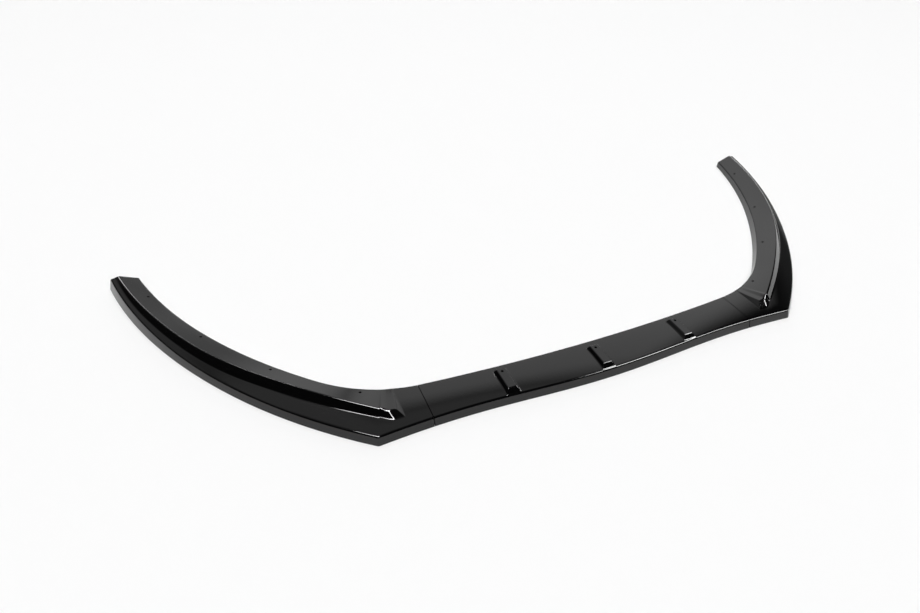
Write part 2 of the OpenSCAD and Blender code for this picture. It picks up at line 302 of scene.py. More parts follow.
@dataclass(frozen=True)
class Skin:
    """Sizes that the top skin and the walls of every moulding share.

    Attributes:
        wall: Thickness of the skin and the walls.
        rear_z: Height of the rear edge where the section is plain.
        crown: How far the plain top swells over a straight line.
        rim_round: How far the rim's rounding reaches to either side.
        inner_round: The same for the rear edge.
        round_steps: Facets in each rounding.
        round_clear: How many roundings from an edge the top is sampled first.
        seam_lines: Distances from a seam's end at which stations lie.
        seam_margin: Distance of the next station.
        end_bevel: Depth of the bevel at the two stations nearest a seam.
        bevel_reach: Distance over which the bevel also draws in the edges.
    """

    wall: float = 4.0
    rear_z: float = 17.6
    crown: float = 1.5
    rim_round: float = 3.1
    inner_round: float = 2.4
    round_steps: int = 6
    round_clear: float = 1.05
    seam_lines: tuple[float, ...] = (0.0, 0.25, 0.5)
    seam_margin: float = 2.0
    end_bevel: tuple[float, ...] = (1.8, 0.9)
    bevel_reach: float = 6.0

    def plain_z(self, plan: Plan, share: np.ndarray) -> np.ndarray:
        """Height of the plain top at a share of the way from the rim to the rear."""
        return mix(plan.rim_z, self.rear_z, share) + 4 * self.crown * share * (1 - share)

    def sampled(self, length: np.ndarray) -> tuple[float, np.ndarray]:
        """Distances from the rim at which the top is clear of both roundings."""
        return self.rim_round * self.round_clear, length - self.inner_round * self.round_clear


@dataclass(frozen=True)
class Joints:
    """Plates, bosses and screws that join the mouldings under the seams.

    Attributes:
        plate_in: Distance from the rim to the plate's middle.
        plate_z: Height of the plate's lower face.
        plate_t: Thickness of the plate.
        screw_across: Distance between the screws across a seam.
        screw_along: Distance between them along it.
        boss_d: Diameter of a boss.
        pilot_d: Diameter of its blind hole.
        pilot_depth: Depth of that hole.
        boss_sides: Facets round a boss.
        boss_mouth: Width of the bevels on its lower face.
    """

    plate_in: float = 44.0
    plate_z: float = 4.4
    plate_t: float = 2.0
    screw_across: float = 36.0
    screw_along: float = 30.0
    boss_d: float = 9.5
    pilot_d: float = 3.2
    pilot_depth: float = 7.0
    boss_sides: int = 40
    boss_mouth: float = 0.35

    def boss_places(self, plan: Plan, side: int) -> list[Pair]:
        """Boss centres round the right seam.

        Args:
            plan: The outline that gives the seam.
            side: -1 for the centre section's bosses, 1 for the wing's.

        Returns:
            The X and Y of both bosses.
        """
        y = float(plan.front_rim(np.array(plan.seam_x))[1]) + self.plate_in
        x = plan.seam_x + side * self.screw_across / 2
        return [(x, y + t * self.screw_along / 2) for t in (-1, 1)]


class Mesh:
    """Gathers points and faces and turns them into one object."""

    def __init__(self) -> None:
        """Starts with no points and no faces."""
        self.points: list[np.ndarray] = []
        self.faces: list[tuple[int, ...]] = []
        self.count = 0

    def add_points(self, points: np.ndarray) -> int:
        """Adds points.

        Args:
            points: The points, in an array of any shape that ends in 3.

        Returns:
            The number of the first new point.
        """
        first = self.count
        self.points.append(np.asarray(points, float).reshape(-1, 3))
        self.count += len(self.points[-1])
        return first

    def add_loft(self, rings: np.ndarray, outer: int) -> None:
        """Adds a closed shell through rings of points.

        Args:
            rings: Array of rings by points by 3. In each ring the outer face
                comes first and the inner face goes back, point for point.
            outer: Number of points in the outer face.
        """
        n = rings.shape[1]
        first = self.add_points(rings)
        for k in range(len(rings) - 1):
            base = first + k * n
            for j in range(n):
                b = (j + 1) % n
                self.faces.append((base + j, base + b, base + n + b, base + n + j))
        last = first + (len(rings) - 1) * n
        for j in range(outer - 1):
            a, b = n - 1 - j, n - 2 - j
            self.faces.append((first + j + 1, first + j, first + a, first + b))
            self.faces.append((last + j, last + j + 1, last + b, last + a))

    def add_boss(self, at: Pair, high: float, sizes: Joints) -> None:
        """Adds a screw boss with its blind pilot hole.

        Args:
            at: X and Y of the boss.
            high: Height of its top, which lies inside the skin.
            sizes: The joint's sizes.
        """
        n, mouth, low = sizes.boss_sides, sizes.boss_mouth, sizes.plate_z + sizes.plate_t
        a = np.linspace(0, 2 * np.pi, n, endpoint=False)
        ring = np.stack([np.cos(a), np.sin(a)], -1)
        rows = [
            (sizes.boss_d / 2, high),
            (sizes.boss_d / 2, low + mouth),
            (sizes.boss_d / 2 - mouth, low),
            (sizes.pilot_d / 2 + mouth, low),
            (sizes.pilot_d / 2, low + mouth),
            (sizes.pilot_d / 2, low + sizes.pilot_depth),
        ]
        first = self.add_points(
            np.concatenate([np.c_[ring * r + at, np.full(n, z)] for r, z in rows])
        )
        for k in range(len(rows) - 1):
            for j in range(n):
                b = (j + 1) % n
                i = first + k * n
                self.faces.append((i + j, i + n + j, i + n + b, i + b))
        self.faces.append(tuple(first + j for j in range(n)))
        last = first + (len(rows) - 1) * n
        self.faces.append(tuple(last + j for j in reversed(range(n))))

    def to_object(self, name: str, mid_y: float, mirror: bool = False) -> bpy.types.Object:
        """Makes the object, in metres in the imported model's frame.

        Args:
            name: Name of the new object.
            mid_y: Depth that becomes Y = 0.
            mirror: True to build the other side of the lip.

        Returns:
            The new object, linked into the scene.
        """
        co = (np.concatenate(self.points) - [0, mid_y, 0]) * MM
        if mirror:
            co[:, 0] *= -1
        faces = [tuple(reversed(f)) for f in self.faces] if mirror else self.faces
        mesh = bpy.data.meshes.new(name)
        mesh.from_pydata(co.tolist(), [], faces)
        mesh.validate()
        obj = bpy.data.objects.new(name, mesh)
        bpy.context.scene.collection.objects.link(obj)
        return obj


def outward(obj: bpy.types.Object) -> None:
    """Turns all faces outward, which the cutting of holes needs.

    Args:
        obj: The piece.
    """
    bm = bmesh.new()
    bm.from_mesh(obj.data)
    bmesh.ops.recalc_face_normals(bm, faces=bm.faces)
    bm.to_mesh(obj.data)
    bm.free()


@dataclass(frozen=True)
class Drill:
    """Round cutter for the upright screw holes, with its diameter and its ends' heights."""

    d: float = 5.5
    low: float = 2.0
    high: float = 50.0
    sides: int = 32

    def cut(self, obj: bpy.types.Object, places: Sequence[Pair]) -> None:
        """Cuts holes right through a piece.

        Args:
            obj: The piece.
            places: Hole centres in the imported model's frame, in metres.
        """
        bm = bmesh.new()
        r, depth = self.d * MM / 2, (self.high - self.low) * MM
        for x, y in places:
            at = Matrix.Translation((x, y, (self.low + self.high) * MM / 2))
            bmesh.ops.create_cone(
                bm, cap_ends=True, segments=self.sides, radius1=r, radius2=r, depth=depth, matrix=at
            )
        data = bpy.data.meshes.new("hole_cutters")
        bm.to_mesh(data)
        bm.free()
        cutter = bpy.data.objects.new("hole_cutters", data)
        bpy.context.scene.collection.objects.link(cutter)
        mod = obj.modifiers.new("holes", "BOOLEAN")
        mod.operation, mod.solver, mod.object = "DIFFERENCE", "EXACT", cutter
        depsgraph = bpy.context.evaluated_depsgraph_get()
        cut = bpy.data.meshes.new_from_object(obj.evaluated_get(depsgraph))
        obj.modifiers.clear()
        old = obj.data
        obj.data = cut
        bpy.data.meshes.remove(old)
        bpy.data.objects.remove(cutter)


def shade_by_angle(obj: bpy.types.Object, degrees: float = 38.0) -> None:
    """Shades a piece smooth, with crisp edges where it turns sharply.

    Args:
        obj: The piece.
        degrees: How far two faces turn apart at a crisp edge.
    """
    bm = bmesh.new()
    bm.from_mesh(obj.data)
    limit = math.radians(degrees)
    for f in bm.faces:
        f.smooth = True
    for e in bm.edges:
        e.smooth = len(e.link_faces) == 2 and e.calc_face_angle(0) < limit
    bm.to_mesh(obj.data)
    bm.free()


class NodeMaterial:
    """One node material, built from the few kinds of nodes that the finishes share."""

    def __init__(self, name: str) -> None:
        """Starts with the standard shader and nothing else.

        Args:
            name: Name of the material.
        """
        self.result = bpy.data.materials.new(name)
        self.result.use_nodes = True
        self.nodes, self.links = self.result.node_tree.nodes, self.result.node_tree.links
        self.shader = self.nodes["Principled BSDF"]
        self.normal: Socket | None = None

    def set_input(self, name: str, value: float) -> None:
        """Sets one of the shader's own values."""
        self.shader.inputs[name].default_value = value

    def place(self) -> Socket:
        """Places on the piece, in metres."""
        return self.nodes.new("ShaderNodeTexCoord").outputs["Object"]

    def noise(self, scale: float, detail: float, where: Socket | None = None) -> Socket:
        """Adds soft random clouds.

        Args:
            scale: How many clouds there are in a unit of length.
            detail: How many finer layers lie on them.
            where: Places on the piece, or nothing for shares of its box.

        Returns:
            The clouds, from 0 to 1.
        """
        node = self.nodes.new("ShaderNodeTexNoise")
        node.inputs["Scale"].default_value = scale
        node.inputs["Detail"].default_value = detail
        if where:
            self.links.new(where, node.inputs["Vector"])
        return node.outputs["Fac"]

    def tint(self, clouds: Socket, colour: Sequence[float], shades: Pair) -> None:
        """Colours the piece between two shades of one colour.

        Args:
            clouds: Where the shades lie.
            colour: The colour.
            shades: How many times as bright the darkest and the lightest are.
        """
        node = self.nodes.new("ShaderNodeValToRGB")
        for element, shade in zip(node.color_ramp.elements, shades):
            element.color = (*[min(c * shade, 1) for c in colour], 1)
        self.links.new(clouds, node.inputs["Fac"])
        self.links.new(node.outputs["Color"], self.shader.inputs["Base Color"])

    def haze(self, clouds: Socket, roughness: float, shares: Pair) -> None:
        """Varies the roughness a little.

        Args:
            clouds: Where it varies.
            roughness: The finish's usual roughness.
            shares: How many times that the least and the most are.
        """
        node = self.nodes.new("ShaderNodeMapRange")
        node.inputs["To Min"].default_value = roughness * shares[0]
        node.inputs["To Max"].default_value = roughness * shares[1]
        self.links.new(clouds, node.inputs["Value"])
        self.links.new(node.outputs["Result"], self.shader.inputs["Roughness"])

    def bump(self, clouds: Socket, strength: float, depth: float) -> None:
        """Lays bumps on the piece, over any that are there.

        Args:
            clouds: Where they rise.
            strength: Share of their slope that shows.
            depth: How far they rise, in metres.
        """
        node = self.nodes.new("ShaderNodeBump")
        node.inputs["Strength"].default_value = strength
        node.inputs["Distance"].default_value = depth
        self.links.new(clouds, node.inputs["Height"])
        if self.normal:
            self.links.new(self.normal, node.inputs["Normal"])
        self.normal = node.outputs["Normal"]
        self.links.new(self.normal, self.shader.inputs["Normal"])


@dataclass(frozen=True)
class GlossBlackPlastic:
    """Black moulded plastic with a polished face and a faint ripple in its gloss.

    The ripple is wide and shallow, the peel is the fine skin of the moulding,
    and the grain only varies the roughness. Depths are in metres.
    """

    name: str = "gloss_black_plastic"
    colour: tuple[float, float, float] = (0.0011, 0.0011, 0.0012)
    shades: Pair = (0.85, 1.2)
    roughness: float = 0.06
    haze_shares: Pair = (0.8, 1.25)
    ior: float = 1.5
    ripple_mm: float = 60.0
    ripple_detail: float = 2.0
    ripple_share: float = 0.25
    ripple_depth: float = 0.000012
    peel_mm: float = 5.0
    peel_detail: float = 1.0
    peel_share: float = 1.0
    peel_depth: float = 0.00003
    grain_mm: float = 1.3
    grain_detail: float = 4.0

    def material(self) -> bpy.types.Material:
        """Builds the node material, once for all mouldings.

        Returns:
            The material.
        """
        found = bpy.data.materials.get(self.name)
        if found:
            return found
        mat = NodeMaterial(self.name)
        mat.set_input("IOR", self.ior)
        where = mat.place()
        flow = mat.noise(1 / (self.ripple_mm * MM), self.ripple_detail, where)
        grain = mat.noise(1 / (self.grain_mm * MM), self.grain_detail, where)
        peel = mat.noise(1 / (self.peel_mm * MM), self.peel_detail, where)
        mat.tint(flow, self.colour, self.shades)
        mat.haze(grain, self.roughness, self.haze_shares)
        mat.bump(flow, self.ripple_share, self.ripple_depth)
        mat.bump(peel, self.peel_share, self.peel_depth)
        return mat.result


@dataclass(frozen=True)
class PlatedSteel:
    """Steel with a thin coat, brushed lightly and a little uneven in colour."""

    name: str
    colour: tuple[float, float, float]
    roughness: float
    metallic: float
    shades: Pair = (0.75, 1.2)
    haze_shares: Pair = (0.75, 1.3)
    cloud_scale: float = 180.0
    cloud_detail: float = 5.0
    bump_share: float = 0.3
    bump_depth: float = 0.00005

    def material(self) -> bpy.types.Material:
        """Builds the node material.

        Returns:
            A new material with the coat's uneven colour and roughness.
        """
        mat = NodeMaterial(self.name)
        mat.set_input("Metallic", self.metallic)
        cloud = mat.noise(self.cloud_scale, self.cloud_detail, mat.place())
        mat.tint(cloud, self.colour, self.shades)
        mat.haze(cloud, self.roughness, self.haze_shares)
        mat.bump(cloud, self.bump_share, self.bump_depth)
        return mat.result


@dataclass(frozen=True)
class FloorPaper:
    """Pale even paper without gloss."""

    name: str = "floor_paper"
    brightness: float = 0.93
    shades: Pair = (0.995, 1.0)
    roughness: float = 0.9
    cloud_scale: float = 3.0
    cloud_detail: float = 2.0

    def material(self) -> bpy.types.Material:
        """Builds the node material.

        Returns:
            The material.
        """
        mat = NodeMaterial(self.name)
        mat.set_input("Roughness", self.roughness)
        mat.set_input("Specular IOR Level", 0.0)
        mat.tint(mat.noise(self.cloud_scale, self.cloud_detail), [self.brightness] * 3, self.shades)
        return mat.result


def dress(obj: bpy.types.Object, material: bpy.types.Material) -> None:
    """Gives a piece one material on all its faces."""
    obj.data.materials.clear()
    obj.data.materials.append(material)


@dataclass
class Shell:
    """The sampled top of a moulding, which gets walls and an inner face.

    Arrays have one row or entry a station, and distances run from the rim.
    `under` holds the heights of the skin's lower face, and `out` how far the
    foot of the rear wall stands out.
    """

    plan: Plan
    skin: Skin
    d: np.ndarray
    z: np.ndarray
    length: np.ndarray
    rim_z: np.ndarray
    edge_z: np.ndarray
    under: np.ndarray
    out: np.ndarray

    def outer_face(self, i: int) -> np.ndarray:
        """Outer face at one station, from the front wall's foot to the rear wall's.

        Args:
            i: Number of the station.

        Returns:
            The points, as distance and height.
        """
        skin = self.skin
        top = np.stack([self.d[i], self.z[i]], -1)
        foot = np.array([-self.plan.lean * self.rim_z[i], 0.0])
        rim = np.array([0.0, self.rim_z[i]])
        edge = np.array([self.length[i], self.edge_z[i]])
        heel = np.array([self.length[i] + self.out[i], 0.0])
        start = mix(rim, foot, skin.rim_round / np.linalg.norm(foot - rim))
        stop = mix(edge, heel, skin.inner_round / np.linalg.norm(heel - edge))
        t = np.linspace(0, 1, skin.round_steps + 1)[:, None]
        front = mix(mix(start, rim, t), mix(rim, top[0], t), t)[:-1]
        rear = mix(mix(top[-1], edge, t), mix(edge, stop, t), t)[1:]
        return np.concatenate([[foot], front, top, rear, [heel]])

    def inner_face(self, i: int) -> np.ndarray:
        """Inner face at one station, point for point with the outer one.

        Args:
            i: Number of the station.

        Returns:
            The points, as distance and height.
        """
        lean, wall, steps = self.plan.lean, self.skin.wall, self.skin.round_steps
        across = wall / math.cos(math.radians(self.plan.wall_lean))
        front = across - lean * wall
        back = self.length[i] - wall + self.out[i] * wall / self.edge_z[i]
        limit = np.clip(self.d[i], front, back)
        ceiling = np.interp(limit, self.d[i], self.under[i])
        return np.concatenate(
            [
                [[across - lean * self.rim_z[i], 0.0]],
                np.repeat([[front, ceiling[0]]], steps, 0),
                np.stack([limit, ceiling], -1),
                np.repeat([[back, ceiling[-1]]], steps, 0),
                [[self.length[i] + self.out[i] - wall, 0.0]],
            ]
        )

    def rings(self, *ends: tuple[int, int]) -> np.ndarray:
        """Closes every station into a ring, with bevels where the piece ends at a seam.

        Args:
            ends: For each seam, the end station and the one before it.

        Returns:
            Array of stations by points by (distance, height), the outer face
            first and the inner face back, with as many points in each.
        """
        faces = [(self.outer_face(i), self.inner_face(i)[::-1]) for i in range(len(self.d))]
        rings = np.array([np.concatenate(pair) for pair in faces])
        for end in ends:
            self.bevel(rings, end)
        return rings

    def bevel(self, rings: np.ndarray, end: tuple[int, int]) -> None:
        """Bevels the outer face at a seam, so that two pieces meet in a dark line.

        Args:
            rings: The shell's rings, which are changed.
            end: The end station and the one before it.
        """
        skin = self.skin
        for i, depth in zip(end, skin.end_bevel):
            outer = rings[i, : rings.shape[1] // 2]
            outer[:, 1] -= np.where(outer[:, 1] > skin.wall / 2, depth, 0)
            outer[:, 0] += depth * np.clip(1 - outer[:, 0] / skin.bevel_reach, 0, 1)
            to_edge = self.length[i] - outer[:, 0]
            outer[:, 0] -= depth * np.clip(1 - to_edge / skin.bevel_reach, 0, 1)


def close_moulding(
    piece: "Wing | CentreSection",
    points: np.ndarray,
    bosses: Sequence[Pair],
    holes: Sequence[Pair],
    mirror: bool = False,
) -> bpy.types.Object:
    """Makes a moulding out of its rings, with bosses and screw holes.

    Args:
        piece: The moulding, for its name and shared sizes.
        points: Array of stations by points by 3, the outer face first.
        bosses: X and Y of the bosses.
        holes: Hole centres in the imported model's frame, in metres.
        mirror: True to build the other side of the lip.

    Returns:
        The finished object, in place.
    """
    mesh = Mesh()
    mesh.add_loft(points, points.shape[1] // 2)
    for at in bosses:
        mesh.add_boss(at, piece.plan.rim_z - piece.skin.wall / 2, piece.joints)
    obj = mesh.to_object(f"{piece.node}_moulding", piece.plan.mid_y, mirror)
    outward(obj)
    piece.drill.cut(obj, holes)
    shade_by_angle(obj)
    return obj


@dataclass(frozen=True)
class WingGrid:
    """How finely a wing is divided, along it and across it.

    Attributes:
        pocket_from: X where the closest lines start, ahead of the pocket.
        pocket_to: X where they end.
        plain_lines: Lines between the seam and the closest ones.
        pocket_lines: Number of the closest ones.
        bend_lines: Lines between those and the corner.
        corner_lines: Lines round the corner.
        wing_lines: Lines along the wing.
        before_foot: How far ahead of the step's foot the closest samples start.
        past_ridge: How far behind the ridge they end.
        rim_margin: Least distance that they keep from the first sample.
        edge_margin: Least distance that they keep from the last one.
        ledge_samples: Samples ahead of the closest ones.
        step_samples: Number of the closest ones.
        deck_samples: Samples behind them.
    """

    pocket_from: float = 400.0
    pocket_to: float = 442.0
    plain_lines: int = 14
    pocket_lines: int = 96
    bend_lines: int = 14
    corner_lines: int = 13
    wing_lines: int = 211
    before_foot: float = 7.0
    past_ridge: float = 9.0
    rim_margin: float = 2.0
    edge_margin: float = 4.0
    ledge_samples: int = 12
    step_samples: int = 58
    deck_samples: int = 18

    def front(self, skin: Skin, start: float, corner_x: float) -> np.ndarray:
        """Lays the lines ahead of the corner.

        Args:
            skin: Sizes at the seam.
            start: X of the wing's end at the seam.
            corner_x: X where the corner starts.

        Returns:
            The X of every line.
        """
        near = [start + step for step in skin.seam_lines]
        places = [start + skin.seam_margin, self.pocket_from, self.pocket_to, corner_x]
        counts = [self.plain_lines, self.pocket_lines, self.bend_lines]
        runs = zip(places, places[1:], counts)
        return np.concatenate([near, *(np.linspace(*run, endpoint=False) for run in runs)])

    def corner(self) -> np.ndarray:
        """Lines round the corner, as shares of its turn."""
        return np.linspace(0, 1, self.corner_lines, endpoint=False)

    def wing(self) -> np.ndarray:
        """Lines along the wing, as shares of its turn."""
        return np.linspace(0, 1, self.wing_lines)

    def across(
        self, foot: np.ndarray, ridge: np.ndarray, start: float, end: np.ndarray
    ) -> np.ndarray:
        """Spreads the samples across the wing, most of them on the step.

        Args:
            foot: Distance from the rim to the step's foot on each line.
            ridge: Distance to the ridge.
            start: Distance to the first sample.
            end: Distance to the last one on each line.

        Returns:
            The distances, by line and sample.
        """

        def run(low: np.ndarray, high: np.ndarray, n: int) -> np.ndarray:
            """Even steps from low up to, and without, high."""
            return mix(low, high, np.linspace(0, 1, n, endpoint=False)[None, :])

        first = np.full_like(foot, start)
        a = np.maximum(foot - self.before_foot, first + self.rim_margin)
        b = np.minimum(ridge + self.past_ridge, end - self.edge_margin)
        ledge, step = run(first, a, self.ledge_samples), run(a, b, self.step_samples)
        return np.concatenate([ledge, step, run(b, end, self.deck_samples), end], axis=1)


@dataclass
class Stations:
    """Lines across a wing and what they carry, in arrays with one entry a line.

    Attributes:
        rim: Point of the rim where the line starts.
        edge: Point of the inner edge where it ends.
        rim_z: Height of the rim.
        edge_z: Height of the inner edge.
        foot_d: Distance from the rim to the step's foot.
        foot_z: Height of the step's foot.
        top_d: Distance from the rim to the ridge.
        top_z: Height of the ridge.
        out: How far the foot of the inner wall stands out.
        raised: 0 where the section is plain and 1 where it has ledge and deck.
        along: Rough distance along the rim, from the middle of the lip.
    """

    rim: np.ndarray
    edge: np.ndarray
    rim_z: np.ndarray
    edge_z: np.ndarray
    foot_d: np.ndarray
    foot_z: np.ndarray
    top_d: np.ndarray
    top_z: np.ndarray
    out: np.ndarray
    raised: np.ndarray
    along: np.ndarray

    @property
    def length(self) -> np.ndarray:
        """Distance from the rim to the inner edge on each line."""
        return np.linalg.norm(self.edge - self.rim, axis=1)

    def place(self, d: np.ndarray) -> tuple[np.ndarray, np.ndarray]:
        """Finds points on the lines.

        Args:
            d: Distances from the rim, one row a line.

        Returns:
            The X and the Y of the points.
        """
        direction = (self.edge - self.rim) / self.length[:, None]
        xy = self.rim[:, None, :] + direction[:, None, :] * d[..., None]
        return xy[..., 0], xy[..., 1]


@dataclass
class Wing:
    """One curved wing, with its ledge, its raised deck and the pocket's end.

    The groups of five values from `ridge_in` to `inner_foot` are spread evenly
    from the corner to the tip. A rounding is given by how far apart the heights
    of its two faces are where it starts.

    Attributes:
        side: Which wing it is.
        ridge_in: Distance from the rim to the ridge.
        step_w: Width of the step, from its foot to the ridge.
        rim_z: Height of the rim.
        ledge_rise: How far the ledge rises from the rim to the step's foot.
        ridge_z: Height of the ridge.
        inner_z: Height of the inner edge.
        inner_foot: How far the foot of the inner wall stands out.
        inner_lag: Power by which the lines lag behind along the inner edge.
        front_x: X of five lines ahead of the corner: at the ramp's start, on
            the ramp, at the pocket's point, at the ridge's end, at the corner.
        front_s: Lengths along the inner edge where those lines end, from the
            ramp's start.
        wing_s: The same for the line at the corner's end.
        pocket_in: Distance from the rim to the pocket's point.
        foot_end_in: Distance to the step's foot, level with the ridge's end.
        foot_end_rise: Height of that foot over the rim.
        ridge_end_in: Distance from the rim to the ridge's end.
        ridge_end_z: Height of the ridge's end.
        ridge_carry: How steeply the ridge still rises at the corner.
        ahead_most: How far ahead of its end the ridge is carried on, in
            distances from that end to the corner.
        edge_from_x: X where the inner edge leaves its plain height.
        raise_before: How far ahead of the pocket's point the plain section
            starts to give way.
        raise_past: How far past the ridge's end it is gone.
        ledge_reach: How far the ledge's slope runs on, in widths of the ledge.
        ledge_crown: How far the ledge swells.
        sink: How far the ledge's surface sinks under the deck.
        sink_over: Distance over which it does.
        bead_share: Width of the flatter strip behind the ridge, as a share of
            the deck's width.
        bead_rise: Fall of that strip, as a share of the deck's fall.
        bead_round: Rounding behind the strip.
        ramp_slope: Slope of the ramp from the plain section to the deck.
        facet_point: A point of the slanted facet at the ramp's front.
        facet_slope: Slopes of that facet along X and along Y.
        lift: How far ramp and facet are lifted clear of the wing.
        lift_over: Distance over which they are.
        ramp_round: Rounding between ramp and deck.
        ridge_round: Rounding of the ridge.
        facet_round: Rounding of the facet's edges.
        foot_fill: Rounding of the step's foot, at the pocket and far from it.
        fill_over: Distance over which that changes.
        corner_run: What the corner adds to the distance along the rim.
        wing_run: What the wing adds.
        hole_at: Places of the screw holes, as shares of the inner edge.
        hole_in: Distance from the inner edge to the holes.
    """

    side: Side
    plan: Plan = field(default_factory=Plan)
    skin: Skin = field(default_factory=Skin)
    joints: Joints = field(default_factory=Joints)
    drill: Drill = field(default_factory=Drill)
    grid: WingGrid = field(default_factory=WingGrid)
    ridge_in: tuple[float, ...] = (54, 42.5, 28, 22, 17)
    step_w: tuple[float, ...] = (11.5, 13.5, 12.5, 11.5, 10)
    rim_z: tuple[float, ...] = (17.3, 17.3, 17.3, 21.6, 25)
    ledge_rise: tuple[float, ...] = (1.4, 4, 4, 3, 1)
    ridge_z: tuple[float, ...] = (30, 34.8, 36.0, 35.6, 29.8)
    inner_z: tuple[float, ...] = (16.8, 18.9, 18.6, 16.3, 14.4)
    inner_foot: tuple[float, ...] = (0, 3.5, 5, 3, 0)
    inner_lag: float = 1.12
    front_x: tuple[float, ...] = (405.5, 410, 424, 438.5, 459)
    front_s: tuple[float, ...] = (0, 3, 6, 12, 20)
    wing_s: float = 26.0
    pocket_in: float = 21.5
    foot_end_in: float = 28.5
    foot_end_rise: float = 1.2
    ridge_end_in: float = 42.5
    ridge_end_z: float = 27.4
    ridge_carry: float = 0.25
    ahead_most: float = 1.2
    edge_from_x: float = 405.0
    raise_before: float = 8.0
    raise_past: float = 2.0
    ledge_reach: float = 1.4
    ledge_crown: float = 1.2
    sink: float = 15.0
    sink_over: float = 14.0
    bead_share: float = 0.12
    bead_rise: float = 0.13
    bead_round: float = 0.8
    ramp_slope: float = 0.70
    facet_point: tuple[float, float, float] = (421.0, 20.0, 18.4)
    facet_slope: Pair = (0.01, 0.493)
    lift: float = 200.0
    lift_over: float = 60.0
    ramp_round: float = 1.8
    ridge_round: float = 3.0
    facet_round: float = 0.6
    foot_fill: Pair = (1.2, 2.0)
    fill_over: float = 110.0
    corner_run: float = 8.0
    wing_run: float = 900.0
    hole_at: tuple[float, ...] = (0.137, 0.374, 0.615, 0.879)
    hole_in: float = 12.5

    @property
    def node(self) -> str:
        """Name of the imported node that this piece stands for."""
        return "left_wing" if self.side is Side.LEFT else "right_wing"

    @property
    def start_x(self) -> float:
        """X of the wing's end at the seam."""
        return self.plan.seam_x + self.plan.seam_gap / 2

    def inner_ends(self, front: np.ndarray, corner: np.ndarray, wing: np.ndarray) -> np.ndarray:
        """Finds where the lines reach the inner edge.

        Args:
            front: X of the lines ahead of the corner.
            corner: Shares of the corner's turn.
            wing: Shares of the wing's turn.

        Returns:
            The points of the inner edge.
        """
        ramp_s = self.front_x[0] - self.plan.seam_x
        corner_s, wing_s = ramp_s + self.front_s[-1], ramp_s + self.wing_s
        known_x, known_s = [self.start_x, *self.front_x], [0, *(ramp_s + s for s in self.front_s)]
        s = [
            np.interp(front, known_x, known_s),
            mix(corner_s, wing_s, corner),
            mix(wing_s, self.plan.inner_len, wing**self.inner_lag),
        ]
        ends = self.plan.inner_edge(np.concatenate(s))
        ends[0][0] = self.start_x
        return ends

    def stations(self) -> Stations:
        """Lays the lines across the wing, from the seam to the tip.

        Returns:
            The lines and what they carry.
        """
        plan, grid = self.plan, self.grid
        front = grid.front(self.skin, self.start_x, plan.corner_x)
        corner, wing = grid.corner(), grid.wing()
        u = np.concatenate([np.zeros(len(front) + len(corner)), wing])
        top_d, rim_z = spline(self.ridge_in, u), spline(self.rim_z, u)
        turning = plan.corner_x + self.corner_run * corner
        behind = plan.corner_x + self.corner_run + self.wing_run * wing
        rim = [plan.front_rim(front), plan.corner_rim(corner), plan.wing_rim(wing)]
        line = Stations(
            rim=np.concatenate(rim),
            edge=self.inner_ends(front, corner, wing),
            rim_z=rim_z,
            edge_z=spline(self.inner_z, u),
            foot_d=top_d - spline(self.step_w, u),
            foot_z=rim_z + spline(self.ledge_rise, u),
            top_d=top_d,
            top_z=spline(self.ridge_z, u),
            out=spline(self.inner_foot, u),
            raised=np.ones(len(u)),
            along=np.concatenate([front, turning, behind]),
        )
        self.end_pocket(line, front)
        return line

    def end_pocket(self, line: Stations, front: np.ndarray) -> None:
        """Brings foot, ridge and deck to their ends ahead of the corner.

        Args:
            line: The lines, of which the first ones are changed.
            front: X of those first lines.
        """
        plan, n = self.plan, len(front)
        pocket_x, end_x = self.front_x[2:4]
        share = (front - end_x) / (plan.corner_x - end_x)
        ahead = np.maximum(share, -self.ahead_most)
        line.top_d[:n] = mix(self.ridge_end_in, line.top_d[n], ahead)
        line.foot_d[:n] = mix(self.foot_end_in, line.foot_d[n], ahead)
        t = np.clip(share, 0, 1)
        rising = t * t * (3 - 2 * t) - self.ridge_carry * t * t * (1 - t)
        line.top_z[:n] = mix(self.ridge_end_z, line.top_z[n], rising)
        short = front < end_x
        foot_slope = (self.foot_end_in - self.pocket_in) / (end_x - pocket_x)
        line.foot_d[:n][short] = self.pocket_in + foot_slope * (front[short] - pocket_x)
        line.foot_z[:n] = mix(plan.rim_z + self.foot_end_rise, line.foot_z[n], t)
        level = smooth_step(self.edge_from_x, plan.corner_x, front)
        line.edge_z[:n] = mix(self.skin.rear_z, line.edge_z[n], level)
        line.raised[:n] = smooth_step(pocket_x - self.raise_before, end_x + self.raise_past, front)

    def top(self, line: Stations, d: np.ndarray) -> np.ndarray:
        """Height of the top skin.

        Args:
            line: The lines.
            d: Distances from the rim, by line and sample.

        Returns:
            The heights.
        """
        x, y = line.place(d)
        length, along = line.length[:, None], line.along[:, None]
        foot_d, foot_z = line.foot_d[:, None], line.foot_z[:, None]
        top_d, top_z = line.top_d[:, None], line.top_z[:, None]
        rim_z, edge_z = line.rim_z[:, None], line.edge_z[:, None]

        plain = self.skin.plain_z(self.plan, d / length)
        share = np.clip(d / foot_d, 0, self.ledge_reach)
        ledge = rim_z + (foot_z - rim_z) * share + self.ledge_crown * share * (1 - share)
        sunk = self.sink * smooth_step(0, 1, (d - top_d) / self.sink_over)
        base = mix(plain, ledge - sunk, line.raised[:, None])

        wall = foot_z + (d - foot_d) * ((top_z - foot_z) / (top_d - foot_d))
        t = (d - top_d) / (length - top_d)
        bead_z = mix(top_z, edge_z, self.bead_rise)
        bead = mix(top_z, bead_z, t / self.bead_share)
        fall = mix(bead_z, edge_z, (t - self.bead_share) / (1 - self.bead_share))
        deck = soft_max(bead, fall, self.bead_round)

